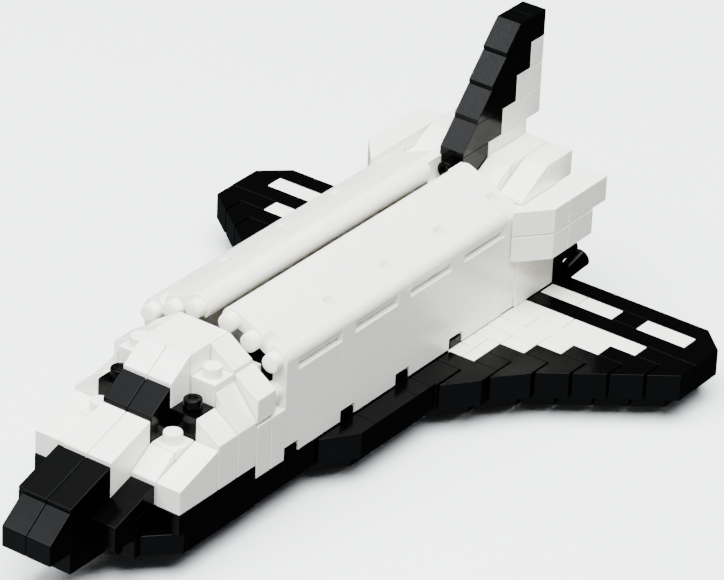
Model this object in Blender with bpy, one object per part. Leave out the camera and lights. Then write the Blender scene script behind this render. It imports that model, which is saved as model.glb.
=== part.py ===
"""A toy space shuttle orbiter built from micro building bricks, at its own size.

The nose and cabin are bricks laid with their studs up. Everything behind the cabin is
bricks laid with their studs facing forward, so its courses run across the fuselage.
+Z is up, the nose points to -Y, and +X is the orbiter's port side, seen from above.
The origin is on the surface that the toy stands on, at the middle of its length.
"""

import math

import bmesh
import bpy
from mathutils import Matrix, Vector

# The brick system, in metres
PITCH = 0.004                # from one stud to the next
LAYER = 0.0031               # height of one brick
STUD_RADIUS = 0.0013
STUD_HEIGHT = 0.0014
STUD_SUNK = 0.0008           # how far a stud's solid reaches into its brick
GAP = 0.0003                 # between two pieces that touch
EDGE = GAP / 2
LIP = 0.15                   # upright edge at the foot of a slope, in layers

# The whole toy
LENGTH = 0.1092              # nose tip to the trailing edge of the fin
NOSE_Y = -LENGTH / 2 - EDGE  # grid plane of the nose tip
TRAIL_Y = NOSE_Y + 0.1033    # trailing edge of the wings, where the courses are counted from
WING_TOP = 2 * PITCH - EDGE  # the wing is two bricks thick and stands on its underside
NOSE_DROP = 0.001            # the nose's lowest full course stands this far below the wing's top

WHITE = "white"
BLACK = "black"
PORT = 1
STARBOARD = -1
SIDES = ((PORT, "port"), (STARBOARD, "starboard"))

# name: sRGB value, roughness
PLASTICS = {WHITE: (0.90, 0.22), BLACK: (0.02, 0.25)}


def stud_y(pitches):
    """Place along the nose, counted rearward from its tip in stud pitches."""
    return NOSE_Y + pitches * PITCH


def layer_z(layers):
    """Height of a layer of the nose, counted up from its lowest full course."""
    return WING_TOP - NOSE_DROP + layers * LAYER


def row_y(rows):
    """Place along the rear body, counted forward from the trailing edge in courses."""
    return TRAIL_Y - rows * LAYER


def deck_z(pitches):
    """Height over the wing's top, in stud pitches."""
    return WING_TOP + pitches * PITCH


def plastic(colour):
    """The moulded plastic of one colour, made once."""
    name = "moulded_" + colour
    if name not in bpy.data.materials:
        value, roughness = PLASTICS[colour]
        material = bpy.data.materials.new(name)
        material.use_nodes = True
        shader = material.node_tree.nodes["Principled BSDF"]
        shader.inputs["Base Color"].default_value = (value, value, value, 1)
        shader.inputs["Roughness"].default_value = roughness
        shader.inputs["Metallic"].default_value = 0
    return bpy.data.materials[name]


def finish(obj, name, colour, collection):
    """Name an object, give it its plastic and put it in its collection."""
    obj.name = name
    obj.data.name = name
    obj.data.materials.clear()
    obj.data.materials.append(plastic(colour))
    for other in list(obj.users_collection):
        other.objects.unlink(obj)
    collection.objects.link(obj)
    return obj


def inset(outline, distance):
    """Move each side of a closed outline inwards by a distance, with mitred corners."""
    area = sum(a[0] * b[1] - b[0] * a[1] for a, b in zip(outline, outline[1:] + outline[:1]))
    turn = 1 if area > 0 else -1
    moved = []
    for before, here, after in zip(outline[-1:] + outline[:-1], outline, outline[1:] + outline[:1]):
        normals = []
        for a, b in ((before, here), (here, after)):
            side = Vector((b[0] - a[0], b[1] - a[1])).normalized()
            normals.append(Vector((-side.y, side.x)) * turn)
        mitre = (normals[0] + normals[1]) / (1 + normals[0].dot(normals[1]))
        moved.append((here[0] + mitre.x * distance, here[1] + mitre.y * distance))
    return moved


# Turn of a flat outline so that it runs across the named axis
TURNS = {
    "X": Matrix(((0, 0, 1), (1, 0, 0), (0, 1, 0))),
    "Y": Matrix(((1, 0, 0), (0, 0, -1), (0, 1, 0))),
    "Z": Matrix.Identity(3),
}


def prism(name, outline, axis, low, high, colour, collection, holes=()):
    """A flat outline carried along one axis from low to high, as one closed mesh.

    The outline is in (Y, Z) for axis X, in (X, Z) for axis Y and in (X, Y) for axis Z. The object's
    own turn and location carry it there.
    """
    flat = bpy.data.curves.new(name, "CURVE")
    flat.dimensions = "2D"
    flat.fill_mode = "BOTH"
    flat.extrude = (high - low) / 2
    for points in (outline, *holes):
        spline = flat.splines.new("POLY")
        spline.points.add(len(points) - 1)
        for point, (a, b) in zip(spline.points, points):
            point.co = (a, b, 0, 1)
        spline.use_cyclic_u = True
    guide = bpy.data.objects.new(name + "_outline", flat)
    bpy.context.scene.collection.objects.link(guide)
    place = Vector()
    place["XYZ".index(axis)] = (low + high) / 2
    guide.matrix_world = Matrix.Translation(place) @ TURNS[axis].to_4x4()
    graph = bpy.context.evaluated_depsgraph_get()
    mesh = bpy.data.meshes.new_from_object(guide.evaluated_get(graph))
    weld = bmesh.new()
    weld.from_mesh(mesh)
    bmesh.ops.remove_doubles(weld, verts=weld.verts, dist=1e-6)
    if not holes:
        caps = [face for face in weld.faces if face.calc_area() < 1e-12 or abs(face.normal.z) > 0.99]
        bmesh.ops.delete(weld, geom=caps, context="FACES")
        bmesh.ops.holes_fill(weld, edges=weld.edges)
    bmesh.ops.recalc_face_normals(weld, faces=weld.faces)
    weld.to_mesh(mesh)
    weld.free()
    solid = bpy.data.objects.new(name, mesh)
    solid.matrix_world = guide.matrix_world
    bpy.data.objects.remove(guide)
    return finish(solid, name, colour, collection)


def brick(name, outline, axis, low, high, colour, collection, holes=()):
    """A prism on the grid, drawn in all round by half the gap between two pieces."""
    outside = inset(outline, EDGE)
    inside = [inset(hole, -EDGE) for hole in holes]
    return prism(name, outside, axis, low + EDGE, high - EDGE, colour, collection, inside)


def round_solid(name, start, end, radius, end_radius, colour, collection, segments=24):
    """A cylinder or cone from one point to another, with flat ends."""
    start, end = Vector(start), Vector(end)
    mesh = bpy.data.meshes.new(name)
    shape = bmesh.new()
    bmesh.ops.create_cone(shape, cap_ends=True, segments=segments, radius1=radius, radius2=end_radius,
                          depth=(end - start).length)
    shape.to_mesh(mesh)
    shape.free()
    solid = bpy.data.objects.new(name, mesh)
    solid.location = (start + end) / 2
    solid.rotation_euler = (end - start).to_track_quat("Z", "Y").to_euler()
    return finish(solid, name, colour, collection)


def combine(obj, tool, operation):
    """Join a tool to an object or cut it away, and keep the tool as a wire guide."""
    boolean = obj.modifiers.new(tool.name, "BOOLEAN")
    boolean.operation = operation
    boolean.solver = "EXACT"
    boolean.use_self = True
    boolean.object = tool
    tool.hide_render = True
    tool.display_type = "WIRE"


def box_outline(a0, b0, a1, b1):
    """The four corners of a rectangle."""
    return [(a0, b0), (a1, b0), (a1, b1), (a0, b1)]


def mirrored(outline, side):
    """An outline of the port side, or its mirror image on the starboard side."""
    return [(side * a, b) for a, b in outline]


def span(side, inner, outer):
    """The X range between two distances from the centreline, lower value first."""
    return sorted((side * inner * PITCH, side * outer * PITCH))


for old in list(bpy.data.objects):
    bpy.data.objects.remove(old)
orbiter = bpy.data.collections.new("toy_shuttle_orbiter")
cutters = bpy.data.collections.new("cutters")
bpy.context.scene.collection.children.link(orbiter)
bpy.context.scene.collection.children.link(cutters)


def add_stud(owner, base, direction):
    """A stud on an owner's face: base is the middle of its foot on that face."""
    base, direction = Vector(base), Vector(direction)
    start = base - direction * STUD_SUNK
    stud = round_solid(owner.name + "_stud", start, base + direction * STUD_HEIGHT,
                       STUD_RADIUS, STUD_RADIUS, WHITE, cutters)
    combine(owner, stud, "UNION")


# Nose and cabin: centre blocks, two studs wide
# name, colour, first and last stud from the nose tip, layer of its base, of its front edge, of its back edge
CENTRE_BLOCKS = (
    ("nose_tip", BLACK, 0, 1, 0, 1, 2),
    ("nose_top", BLACK, 1, 3, 1, 2 + LIP, 3),
    ("forebody", WHITE, 3, 5, 1, 3 + LIP, 4),
    ("windscreen", BLACK, 5, 6, 1, 4 + LIP, 5),
    ("canopy", WHITE, 6, 7, 1, 5 + LIP, 6),
    ("cabin_roof", WHITE, 7, 9, 1, 6, 6),
)
for name, colour, first, last, base, front, back in CENTRE_BLOCKS:
    profile = [(stud_y(first), layer_z(base)), (stud_y(last), layer_z(base)),
               (stud_y(last), layer_z(back)), (stud_y(first), layer_z(front))]
    brick(name, profile, "X", -PITCH, PITCH, colour, orbiter)

# Cabin sides: blocks whose top is level or falls towards the nose
# name, colour, inner and outer stud, first and last stud from the nose tip, front and back layer, stud on top
FRONT_BLOCKS = (
    ("cheek_dark", BLACK, 1, 2, 2, 4, 1 + LIP, 2, False),
    ("cheek_inner", WHITE, 1, 2, 4, 5, 2 + LIP, 3, False),
    ("cheek_outer", WHITE, 2, 3, 4, 6, 2 + LIP, 3, False),
    ("step_low", WHITE, 1, 2, 5, 6, 3, 3, True),
    ("step_dark", BLACK, 1, 2, 6, 7, 4, 4, True),
    ("step_high", WHITE, 1, 2, 7, 8, 5, 5, True),
)
# Cabin sides: blocks whose top falls towards the side
# name, inner and outer stud, first and last stud, layer of its base, inner and outer layer
SIDE_BLOCKS = (
    ("side_fore", 2, 3, 6, 7, 1, 4, 3 + LIP),
    ("side_mid", 2, 3, 7, 8, 1, 4.7, 3 + LIP),
    ("side_upper", 1, 2, 8, 9, 1, 6, 5 + LIP),
    ("side_aft", 2, 3, 8, 9, 3, 5, 4 + LIP),
)
for side, side_name in SIDES:
    for name, colour, inner, outer, first, last, front, back, has_stud in FRONT_BLOCKS:
        profile = [(stud_y(first), layer_z(1)), (stud_y(last), layer_z(1)),
                   (stud_y(last), layer_z(back)), (stud_y(first), layer_z(front))]
        left, right = span(side, inner, outer)
        block = brick(f"{name}_{side_name}", profile, "X", left, right, colour, orbiter)
        if has_stud:
            middle = ((left + right) / 2, stud_y((first + last) / 2), layer_z(back) - EDGE)
            add_stud(block, middle, (0, 0, 1))
    for name, inner, outer, first, last, base, top_in, top_out in SIDE_BLOCKS:
        profile = [(inner * PITCH, layer_z(base)), (outer * PITCH, layer_z(base)),
                   (outer * PITCH, layer_z(top_out)), (inner * PITCH, layer_z(top_in))]
        brick(f"{name}_{side_name}", mirrored(profile, side), "Y", stud_y(first), stud_y(last), WHITE,
              orbiter)

# Nose keel: two black courses under the cabin, wider towards the rear
# distance from the centreline and from the nose tip, in studs
HULL_EDGE = ((1, 1), (1, 2), (2, 2), (2, 4), (3, 4), (3, 8))
UNDER_EDGE = ((1, 1), (1, 3), (2, 3), (2, 3.3), (3, 4.2), (3, 8))
KEEL_STUD = 0.5                # how far a stud shows under each side of the nose, in layers
for name, edge, base in (("nose_hull", HULL_EDGE, 0), ("nose_keel", UNDER_EDGE, -1)):
    port_half = [(x * PITCH, stud_y(y)) for x, y in edge]
    outline = port_half + [(-x, y) for x, y in reversed(port_half)]
    course = brick(name, outline, "Z", layer_z(base), layer_z(base + 1), BLACK, orbiter)
    if base == 0:
        for side, side_name in SIDES:
            middle = (side * 1.5 * PITCH, stud_y(2.5))
            stud = round_solid(f"keel_stud_{side_name}", (*middle, layer_z(0) + STUD_SUNK),
                               (*middle, layer_z(-KEEL_STUD)), STUD_RADIUS, STUD_RADIUS, BLACK, cutters)
            combine(course, stud, "UNION")

# Wings and decks: black plates one pitch thick, with white blocks let into the upper wing
# distance from the centreline in pitches, course counted from the trailing edge
WING_FRONT = ((10, 1.18), (10, 4.18), (9, 5.12), (8, 6.12), (7, 7.12), (6, 8.15), (5.12, 9.75), (4.95, 9.75),
              (4.95, 10.15), (4.08, 11.75), (3.9, 11.75), (3.9, 17.05), (3.1, 18.75), (3, 18.75))
INLAY_STEPS = ((3, 9), (4, 9), (4, 7), (5, 7), (5, 6), (6, 6), (6, 5), (7, 5), (7, 4), (8, 4), (8, 3), (3, 3))
ELEVON_INNER = ((3, 2), (6, 2), (6, 1), (3, 1))
ELEVON_OUTER = ((7, 1), (9, 1), (9, 2), (7, 2))
LOWER_FRONT = ((9, 1), (9, 3.18), (8, 4.12), (7, 5.12), (6, 6.12), (5, 7.15), (4.12, 8.75), (3.95, 8.75),
               (3.95, 9.15), (3, 10.9), (3, 16.15), (2.1, 17.75), (2, 17.75), (2, 21))


def plan(points, side=PORT):
    """Turn (pitch, course) pairs into an outline seen from above."""
    return [(side * x * PITCH, row_y(r)) for x, r in points]


deck = ((3, 0), (3, 23), (-3, 23), (-3, 0))
brick("fuselage_deck", plan(deck), "Z", deck_z(-1), deck_z(0), BLACK, orbiter)
lower = plan(LOWER_FRONT)
lower += [(-x, y) for x, y in reversed(lower)]
brick("lower_deck", lower, "Z", deck_z(-2), deck_z(-1), BLACK, orbiter)
for side, side_name in SIDES:
    wing = ((3, 0), (9, 0)) + WING_FRONT + INLAY_STEPS + ELEVON_INNER
    brick(f"wing_{side_name}", plan(wing, side), "Z", deck_z(-1), deck_z(0), BLACK, orbiter,
          holes=[plan(ELEVON_OUTER, side)])
    inlays = (("wing_inlay", INLAY_STEPS), ("elevon_inner", ELEVON_INNER), ("elevon_outer", ELEVON_OUTER))
    for name, points in inlays:
        brick(f"{name}_{side_name}", plan(points, side), "Z", deck_z(-1), deck_z(0), WHITE, orbiter)

# Payload bay: the two doors, each a shell whose top runs over three barrels
BARREL_RADIUS = 0.44 * PITCH
# distance from the centreline and height over the wing, in pitches
BARRELS = ((0.69, 4.44), (1.61, 4.06), (2.51, 3.62))
DOOR_WALL = 0.56 * PITCH       # thickness of the shell
DOOR_FOOT = 0.075              # lower edge over the wing, in pitches
DOOR_FRONT, DOOR_REAR = 21, 5  # courses
HINGE_LINE = (3, 0.35)         # centreline distance and height over the wing, in pitches
PANEL_FRONTS = (21, 17, 13, 9)  # a door is four panels long
NOTCH_TOP = 0.42               # a notch for the hinge in the first course of each panel's foot
SLOT_COURSES = (0.85, 3.9)     # a slot under the outer barrel, from and to, behind each panel's front
SLOT_LEDGE = 3.15
SLOT_TURN = math.radians(65)   # how far the slot follows the barrel round
DENT_COURSES = (0, 0.55)       # a dent beside the outer barrel, behind each panel's front
DENT_SPAN = (1.98, 2.35)
DENT_DEPTH = 0.14
WALL_PEG = (2.5, 2.5)          # a peg on the front of each door's wall, below those on its barrels
PEG_RADIUS = STUD_RADIUS
PEG_LENGTH = STUD_HEIGHT
ARC_STEP = math.radians(15)


def arc(centre, radius, start, end):
    """Points on an arc from one angle to another, both in radians."""
    steps = max(1, round(abs(end - start) / ARC_STEP))
    angles = [start + (end - start) * i / steps for i in range(steps + 1)]
    return [(centre[0] + radius * math.cos(a), centre[1] + radius * math.sin(a)) for a in angles]


def shell_outside():
    """The door's outer line, from under the inner barrel over the top to the outer wall."""
    centres = [Vector((x * PITCH, deck_z(z))) for x, z in BARRELS]
    normals = []
    for a, b in zip(centres, centres[1:]):
        run = b - a
        normals.append(math.atan2(run.x, -run.y))
    normals.append(0.0)
    line = []
    turn = math.radians(230)
    for centre, normal in zip(centres, normals):
        line += arc(centre, BARREL_RADIUS, turn, normal)
        turn = normal
    return line


def shell_inside():
    """The door's inner line, from the foot of the wall up to the inner barrel."""
    centres = [Vector((x * PITCH, deck_z(z))) for x, z in BARRELS]
    depth = DOOR_WALL - BARREL_RADIUS
    line = []
    for before, here, after in zip(centres, centres[1:], centres[2:] + [centres[-1] - Vector((0, PITCH))]):
        sides = []
        for a, b in ((before, here), (here, after)):
            run = (b - a).normalized()
            sides.append(Vector((run.y, -run.x)))
        mitre = (sides[0] + sides[1]) / (1 + sides[0].dot(sides[1]))
        line.append(tuple(here + mitre * depth))
    return line[::-1]


def ridge_z(x, depth=0.0):
    """Height of the flat stretch between the two outer barrels, or of a line below it, in pitches."""
    run = Vector(BARRELS[2]) - Vector(BARRELS[1])
    normal = Vector((-run.y, run.x)).normalized()
    level = normal.dot(BARRELS[2]) + BARREL_RADIUS / PITCH - depth
    return (level - normal.x * x) / normal.y


foot = deck_z(DOOR_FOOT)
outer_wall = BARRELS[-1][0] * PITCH + BARREL_RADIUS
barrel_end = (BARRELS[-1][0] * PITCH, deck_z(BARRELS[-1][1]))
clear = outer_wall + PITCH / 4   # where the cutters end, outside the doors
door_outline = (shell_outside() + [(outer_wall, foot), (outer_wall - DOOR_WALL, foot)] + shell_inside())
slot_outline = arc(barrel_end, BARREL_RADIUS, 0, -SLOT_TURN)
slot_outline += [(slot_outline[-1][0], deck_z(SLOT_LEDGE)), (clear, deck_z(SLOT_LEDGE)),
                 (clear, barrel_end[1])]
dent_outline = [(x * PITCH, deck_z(ridge_z(x, depth))) for x, depth in (
    (DENT_SPAN[0], 0), (DENT_SPAN[1], DENT_DEPTH), (DENT_SPAN[1], -DENT_DEPTH), (DENT_SPAN[0], -DENT_DEPTH))]
notch_outline = box_outline(outer_wall - DOOR_WALL - PITCH / 4, deck_z(-0.5), clear, deck_z(NOTCH_TOP))
# name, its outline, where it runs from and to behind each panel's front, in courses
DOOR_CUTS = (("notch", notch_outline, 0, 1), ("slot", slot_outline, *SLOT_COURSES),
             ("dent", dent_outline, *DENT_COURSES))
for side, side_name in SIDES:
    door = prism(f"payload_door_{side_name}", mirrored(door_outline, side), "Y",
                 row_y(DOOR_FRONT) + EDGE, row_y(DOOR_REAR) - GAP, WHITE, orbiter)
    for front in PANEL_FRONTS:
        for name, outline, start, end in DOOR_CUTS:
            cut = prism(f"door_{name}_{side_name}_{front}", mirrored(outline, side), "Y",
                        row_y(front - start) - EDGE, row_y(front - end) + EDGE, WHITE, cutters)
            combine(door, cut, "DIFFERENCE")
    for index, (x, z) in enumerate((*BARRELS, WALL_PEG)):
        middle = Vector((side * x * PITCH, row_y(DOOR_FRONT) + EDGE, deck_z(z)))
        peg = round_solid(f"door_peg_{side_name}_{index}", middle + Vector((0, STUD_SUNK, 0)),
                          middle - Vector((0, PEG_LENGTH, 0)), PEG_RADIUS, PEG_RADIUS, WHITE, cutters)
        combine(door, peg, "UNION")
    hinge = bpy.data.objects.new(f"door_hinge_{side_name}", None)
    hinge.location = (side * HINGE_LINE[0] * PITCH, 0, deck_z(HINGE_LINE[1]))
    orbiter.objects.link(hinge)
    door.parent = hinge
    door.matrix_parent_inverse = Matrix.Translation(hinge.location).inverted()

# Hinge rails: black knuckles that stand in the doors' notches, on a strip inside the bay
STRIP_INNER, STRIP_OUTER = 1.95, 2.35  # distance from the centreline, in pitches
STRIP_TOP = 0.22
KNUCKLE_TOP = 0.33
for side, side_name in SIDES:
    base = deck_z(0) + EDGE
    left, right = span(side, STRIP_INNER, STRIP_OUTER)
    strip = prism(f"hinge_rail_{side_name}",
                  box_outline(left, row_y(DOOR_FRONT) + GAP, right, row_y(DOOR_REAR) - GAP),
                  "Z", base, deck_z(STRIP_TOP), BLACK, orbiter)
    for front in PANEL_FRONTS:
        left, right = sorted((side * (STRIP_INNER + 0.1) * PITCH, side * outer_wall))
        knuckle = prism(f"hinge_knuckle_{side_name}_{front}",
                        box_outline(left, row_y(front) + GAP, right, row_y(front - 1) - EDGE),
                        "Z", base, deck_z(KNUCKLE_TOP), BLACK, cutters)
        combine(strip, knuckle, "UNION")

# Bay ends: low side walls and a bulkhead behind the cabin, a full frame behind the doors
BULKHEAD_TOP = 3.3           # pitches over the wing
BULKHEAD_HALF = 1.95
for side, side_name in SIDES:
    wall = box_outline(2 * PITCH, deck_z(0), 3 * PITCH, deck_z(2))
    brick(f"bay_corner_{side_name}", mirrored(wall, side), "Y", row_y(23), row_y(21), WHITE, orbiter)
bulkhead = box_outline(-BULKHEAD_HALF * PITCH, deck_z(0), BULKHEAD_HALF * PITCH, deck_z(BULKHEAD_TOP))
brick("bay_front_bulkhead", bulkhead, "Y", stud_y(9), row_y(21) + EDGE, WHITE, orbiter)

BAY_SLOT_HALF = 0.42 * PITCH  # gap in the frame's top, in front of the fin's stud
BAY_SLOT_FLOOR = 4.0
crown = [point for point in shell_outside() if point[0] > BAY_SLOT_HALF]
frame_half = ([(BAY_SLOT_HALF, deck_z(BAY_SLOT_FLOOR)), (BAY_SLOT_HALF, crown[0][1])] + crown
              + [(outer_wall, deck_z(0) + EDGE)])
frame_outline = frame_half + [(-x, z) for x, z in reversed(frame_half)]
prism("bay_rear_frame", frame_outline, "Y", row_y(5) + EDGE, row_y(4) - EDGE, WHITE, orbiter)

# Aft body, pods and shoulders
AFT_TOP = 3.5
POD_TOP = 4.5
aft_profile = [(row_y(4), deck_z(0)), (row_y(1), deck_z(0)), (row_y(1), deck_z(2)), (row_y(0), deck_z(2)),
               (row_y(0), deck_z(AFT_TOP)), (row_y(4), deck_z(AFT_TOP))]
brick("aft_body", aft_profile, "X", -3 * PITCH, 3 * PITCH, WHITE, orbiter)
# name, inner and outer distance from the centreline, course where its slope starts
PODS = (("pod_inner", 0.5, 1.5, 4), ("pod_outer", 1.5, 2.5, 3))
SLOPE_ROWS = 2
for side, side_name in SIDES:
    for name, inner, outer, start in PODS:
        profile = [(row_y(start), deck_z(AFT_TOP)), (row_y(-1), deck_z(AFT_TOP)),
                   (row_y(-1), deck_z(POD_TOP)), (row_y(start - SLOPE_ROWS), deck_z(POD_TOP)),
                   (row_y(start), deck_z(AFT_TOP + LIP))]
        left, right = span(side, inner, outer)
        brick(f"{name}_{side_name}", profile, "X", left, right, WHITE, orbiter)
    shoulder_plan = ((3, 4.7), (4, 3.15), (4, -1), (3, -1))
    shoulder = brick(f"shoulder_{side_name}", plan(shoulder_plan, side), "Z", deck_z(2), deck_z(4), WHITE,
                     orbiter)
    left, right = span(side, 2.5, 4.5)
    undercut = prism(f"shoulder_undercut_{side_name}", box_outline(left, row_y(0), right, row_y(-2)),
                     "Z", deck_z(1), deck_z(3), WHITE, cutters)
    combine(shoulder, undercut, "DIFFERENCE")

# Fin: black steps along the leading edge, white panel behind
FIN_HALF = PITCH / 2
FIN_ROOT = 3.5
FIN_LEVELS = (4, 5, 6, 7, 8)   # base of each level over the wing, in pitches
FIN_TOP = 9
leading = [(row_y(4), deck_z(FIN_LEVELS[0]))]
for level in FIN_LEVELS[1:]:
    leading += [(row_y(9 - level), deck_z(level + LIP)), (row_y(8 - level), deck_z(level + 1))]
leading += [(row_y(-2), deck_z(FIN_TOP))]
for level in reversed(FIN_LEVELS):
    rear = 6 - level
    leading += [(row_y(rear), deck_z(level + 1)), (row_y(rear), deck_z(level))]
leading = [point for i, point in enumerate(leading) if i == 0 or point != leading[i - 1]]
fin_front = brick("fin_leading_edge", leading, "X", -FIN_HALF, FIN_HALF, BLACK, orbiter)
add_stud(fin_front, (0, row_y(4) + EDGE, deck_z(4.5)), (0, -1, 0))
panel = [(row_y(4), deck_z(FIN_ROOT)), (row_y(-1), deck_z(FIN_ROOT)), (row_y(-1), deck_z(5)),
         (row_y(-2), deck_z(5)), (row_y(-2), deck_z(8))]
for level in (7, 6, 5, 4):
    front = 6 - level
    panel += [(row_y(front), deck_z(level + 1)), (row_y(front), deck_z(level))]
panel += [(row_y(4), deck_z(4))]
panel = [point for i, point in enumerate(panel) if i == 0 or point != panel[i - 1]]
brick("fin_panel", panel, "X", -FIN_HALF, FIN_HALF, WHITE, orbiter)

# Engine bay: a black bracket across the tail with a hooked lip, and three bells
# course and height over the wing in pitches
BRACKET_PROFILE = ((1, 0), (0.2, 0), (0.2, 0.78), (-0.62, 0.78), (-1.0, 0.72), (-0.73, 1.03), (1, 1.03))
bracket = [(row_y(row), deck_z(z)) for row, z in BRACKET_PROFILE]
brick("engine_bracket", bracket, "X", -3 * PITCH, 3 * PITCH, BLACK, orbiter)
BELL_LENGTH = 0.96 * PITCH
BELL_CANT = math.radians(12)   # the bells point a little upwards
BELL_THROAT = 0.24 * PITCH
BELL_RIM = 0.33 * PITCH
BELL_WALL = 0.10 * PITCH
BELL_DEPTH = 0.7               # hollow part of a bell's length
# name, distance from the centreline and height over the wing in pitches
BELLS = (("engine_bell_port", 3.0, 0.1), ("engine_bell_starboard", -3.0, 0.1), ("engine_bell_top", 0, 2.75))
for name, x, z in BELLS:
    start = Vector((x * PITCH, row_y(0) + GAP, deck_z(z)))
    axis = Vector((0, math.cos(BELL_CANT), math.sin(BELL_CANT)))
    end = start + axis * BELL_LENGTH
    bell = round_solid(name, start, end, BELL_THROAT, BELL_RIM, BLACK, orbiter)
    mouth = end + axis * PITCH * 0.01
    bottom = end - axis * BELL_LENGTH * BELL_DEPTH
    hollow = round_solid(name + "_hollow", bottom, mouth, BELL_THROAT - BELL_WALL, BELL_RIM - BELL_WALL,
                         BLACK, cutters)
    combine(bell, hollow, "DIFFERENCE")
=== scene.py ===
"""The looks of a toy space shuttle orbiter that is put together from micro building bricks.

Every brick is a closed shell of its own, with rounded edges and a hairline of air to the next,
so each seam on the toy is a real one. -Y is towards the nose and +X towards the port side.
"""

import math

import bmesh
import bpy
import numpy as np
from mathutils import Matrix, Vector


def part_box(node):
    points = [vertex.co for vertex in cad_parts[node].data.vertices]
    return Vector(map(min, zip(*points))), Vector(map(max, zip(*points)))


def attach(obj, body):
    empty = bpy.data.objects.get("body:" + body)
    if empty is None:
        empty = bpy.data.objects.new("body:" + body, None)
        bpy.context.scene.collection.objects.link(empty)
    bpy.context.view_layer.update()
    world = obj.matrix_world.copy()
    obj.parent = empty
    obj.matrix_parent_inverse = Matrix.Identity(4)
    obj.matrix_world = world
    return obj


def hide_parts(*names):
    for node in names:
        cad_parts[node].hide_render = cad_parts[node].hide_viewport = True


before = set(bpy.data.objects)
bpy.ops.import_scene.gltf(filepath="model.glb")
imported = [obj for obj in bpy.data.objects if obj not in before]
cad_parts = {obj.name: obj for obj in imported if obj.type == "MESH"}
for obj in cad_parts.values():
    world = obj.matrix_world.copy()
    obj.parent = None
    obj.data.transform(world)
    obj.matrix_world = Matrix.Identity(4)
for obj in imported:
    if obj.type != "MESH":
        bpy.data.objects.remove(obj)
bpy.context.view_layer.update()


# Lower deck. The real piece is a raft of flat black bricks under the fuselage and the wings.
# They are injection-moulded ABS, laid with the studs forward in courses across the body, each
# course pushed onto the studs of the one behind it, with the joints staggered.

PITCH = 0.004            # from one stud to the next
COURSE = 0.0031          # height of one brick
CAD_EDGE = 0.00015       # how far a CAD solid stands back from the grid
HAIRLINE = 0.00005       # air between two bricks
SIDES = ((1, "port"), (-1, "starboard"))
BLACK_EDGE = 0.00013     # rounding of a black brick's edges
WING_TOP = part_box("wing_port")[1][2] + CAD_EDGE
TRAILING_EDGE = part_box("wing_port")[1][1] + CAD_EDGE
LOWEST_COURSE = 1        # the first course of the raft


def course_y(course):
    """Place of a course's plane along the body: the trailing edge less the courses times their
    height."""
    return TRAILING_EDGE - np.asarray(course, float) * COURSE


def over_wing(pitches):
    """Height in metres of a level that is counted in stud pitches over the wing's top."""
    return WING_TOP + np.asarray(pitches, float) * PITCH


def corners_of(across, along, upward):
    """Corners of six-sided blocks, as (block, x side, y side, z side, xyz).

    Each argument gives one coordinate, broadcast over the block and its low and high sides, so
    a coordinate that changes from side to side makes a slope.
    """
    return np.stack(np.broadcast_arrays(across, along, upward), axis=-1)


def boxes(x0, x1, y0, y1, z0, z1):
    """Corners of level blocks, from the planes of their six sides: each argument is one number
    or one for each block."""
    x, y, z = (np.stack(np.broadcast_arrays(*np.atleast_1d(low, high)), axis=-1)
               for low, high in ((x0, x1), (y0, y1), (z0, z1)))
    return corners_of(x[:, :, None, None], y[:, None, :, None], z[:, None, None, :])


def on_side(corners, side):
    """The port side's corners, or their mirror image in x with its low and high sides exchanged."""
    return corners if side > 0 else corners[:, ::-1] * np.array([-1, 1, 1])


def moulded(corners, air=HAIRLINE):
    """Shells of bricks with air between them.

    Each corner moves towards its block's middle by half the air, in each direction apart: its
    offset from the middle is scaled by one less the air over the block's size.
    """
    flat = corners.reshape(len(corners), 8, 3)
    middle = (flat.min(axis=1, keepdims=True) + flat.max(axis=1, keepdims=True)) / 2
    size = np.ptp(flat, axis=1, keepdims=True)
    points = middle + (flat - middle) * (1 - air / size)
    sides = np.array([[0, 1, 3, 2], [4, 6, 7, 5], [0, 4, 5, 1],
                      [2, 3, 7, 6], [0, 2, 6, 4], [1, 5, 7, 3]])
    faces = sides[None] + 8 * np.arange(len(flat))[:, None, None]
    return points.reshape(-1, 3), faces.reshape(-1, 4).tolist()


def ring_faces(rows, count):
    """Faces of a closed shell over rows of points, each row a ring of the same count: four-sided
    faces from each row to the next, and one face over each end."""
    here = np.arange(rows - 1)[:, None] * count + np.arange(count)
    after = np.arange(rows - 1)[:, None] * count + (np.arange(count) + 1) % count
    band = np.stack([here, after, after + count, here + count], axis=-1).reshape(-1, 4).tolist()
    last = (rows - 1) * count
    return band + [list(range(count))[::-1], list(range(last, last + count))]


def slab(outline, low, high, axis, air=0.0):
    """A flat outline carried along an axis from low to high, as one closed shell.

    For the air between bricks each side of the outline moves in by half of it: a corner moves by
    the sum of its two sides' directions inwards, over one plus the cosine of the angle between
    them, times that half.
    """
    outline = np.asarray(outline, float)
    step = np.roll(outline, -1, axis=0) - outline
    area = np.sum(outline[:, 0] * step[:, 1] - outline[:, 1] * step[:, 0])
    inward = np.stack([-step[:, 1], step[:, 0]], axis=-1) * np.sign(area)
    inward /= np.linalg.norm(inward, axis=1, keepdims=True)
    before = np.roll(inward, 1, axis=0)
    cosine = np.sum(inward * before, axis=1, keepdims=True)
    outline = outline + (inward + before) / (1 + cosine) * air / 2
    count = len(outline)
    depth = np.repeat([low + air / 2, high - air / 2], count)
    points = np.insert(np.tile(outline, (2, 1)), "xyz".index(axis), depth, axis=1)
    return points, ring_faces(2, count)


SHARP = math.radians(28)   # an edge that turns by more than this is a sharp one


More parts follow.
